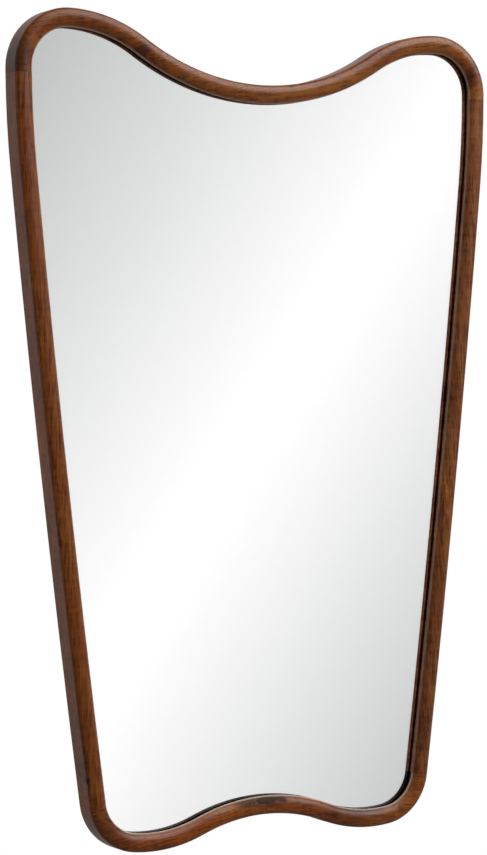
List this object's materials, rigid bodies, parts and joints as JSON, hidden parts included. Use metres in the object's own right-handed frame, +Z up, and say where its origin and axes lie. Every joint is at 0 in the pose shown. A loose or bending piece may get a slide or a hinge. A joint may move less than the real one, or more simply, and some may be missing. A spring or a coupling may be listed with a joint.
{
  "type": "accent mirror",
  "caption": "Wall mirror in a slim wooden frame with a wavy top and bottom, tapering towards the foot, with ring hangers on its back.",
  "frame": {"origin": "on the wall plane, level with the middle of the frame's height and width", "axes": "+X to the right as seen from the front, +Z up, +Y into the wall"},
  "size_m": [0.61, 0.032, 0.914],
  "materials": {
    "frame_wood": "satin walnut-brown oil and lacquer",
    "tenon_wood": "raw beech",
    "pane_glass": "polished clear glass",
    "silver": "silver layer behind the glass",
    "board": "raw medium density fibreboard",
    "clip_steel": "zinc-plated steel",
    "screw_steel": "zinc-plated steel",
    "hanger_steel": "zinc-plated steel",
    "bumper": "matt translucent rubber"
  },
  "bodies": {
    "mirror": {"top_left_rail": "frame_wood", "top_right_rail": "frame_wood", "left_stile": "frame_wood", "right_stile": "frame_wood", "bottom_left_rail": "frame_wood", "bottom_right_rail": "frame_wood", "tenon_top": "tenon_wood", "tenon_upper_left": "tenon_wood", "tenon_upper_right": "tenon_wood", "tenon_lower_left": "tenon_wood", "tenon_lower_right": "tenon_wood", "tenon_bottom": "tenon_wood", "mirror_glass": "pane_glass", "silver_coating": "silver", "backing_board": "board", "board_clips": "clip_steel", "clip_screws": "screw_steel", "left_hanger_strap": "hanger_steel", "right_hanger_strap": "hanger_steel", "left_hanger_screws": "screw_steel", "right_hanger_screws": "screw_steel", "upper_left_bumper": "bumper", "upper_right_bumper": "bumper", "lower_left_bumper": "bumper", "lower_right_bumper": "bumper"},
    "left_ring": {"left_hanger_ring": "hanger_steel"},
    "right_ring": {"right_hanger_ring": "hanger_steel"}
  },
  "joints": [
    {"name": "left_ring_swing", "type": "hinge", "parent": "mirror", "child": "left_ring", "pos_m": [-0.2, -0.00325, 0.215], "axis": [1, 0, 0], "range_deg": [0, 180]},
    {"name": "right_ring_swing", "type": "hinge", "parent": "mirror", "child": "right_ring", "pos_m": [0.2, -0.00325, 0.215], "axis": [1, 0, 0], "range_deg": [0, 180]}
  ]
}
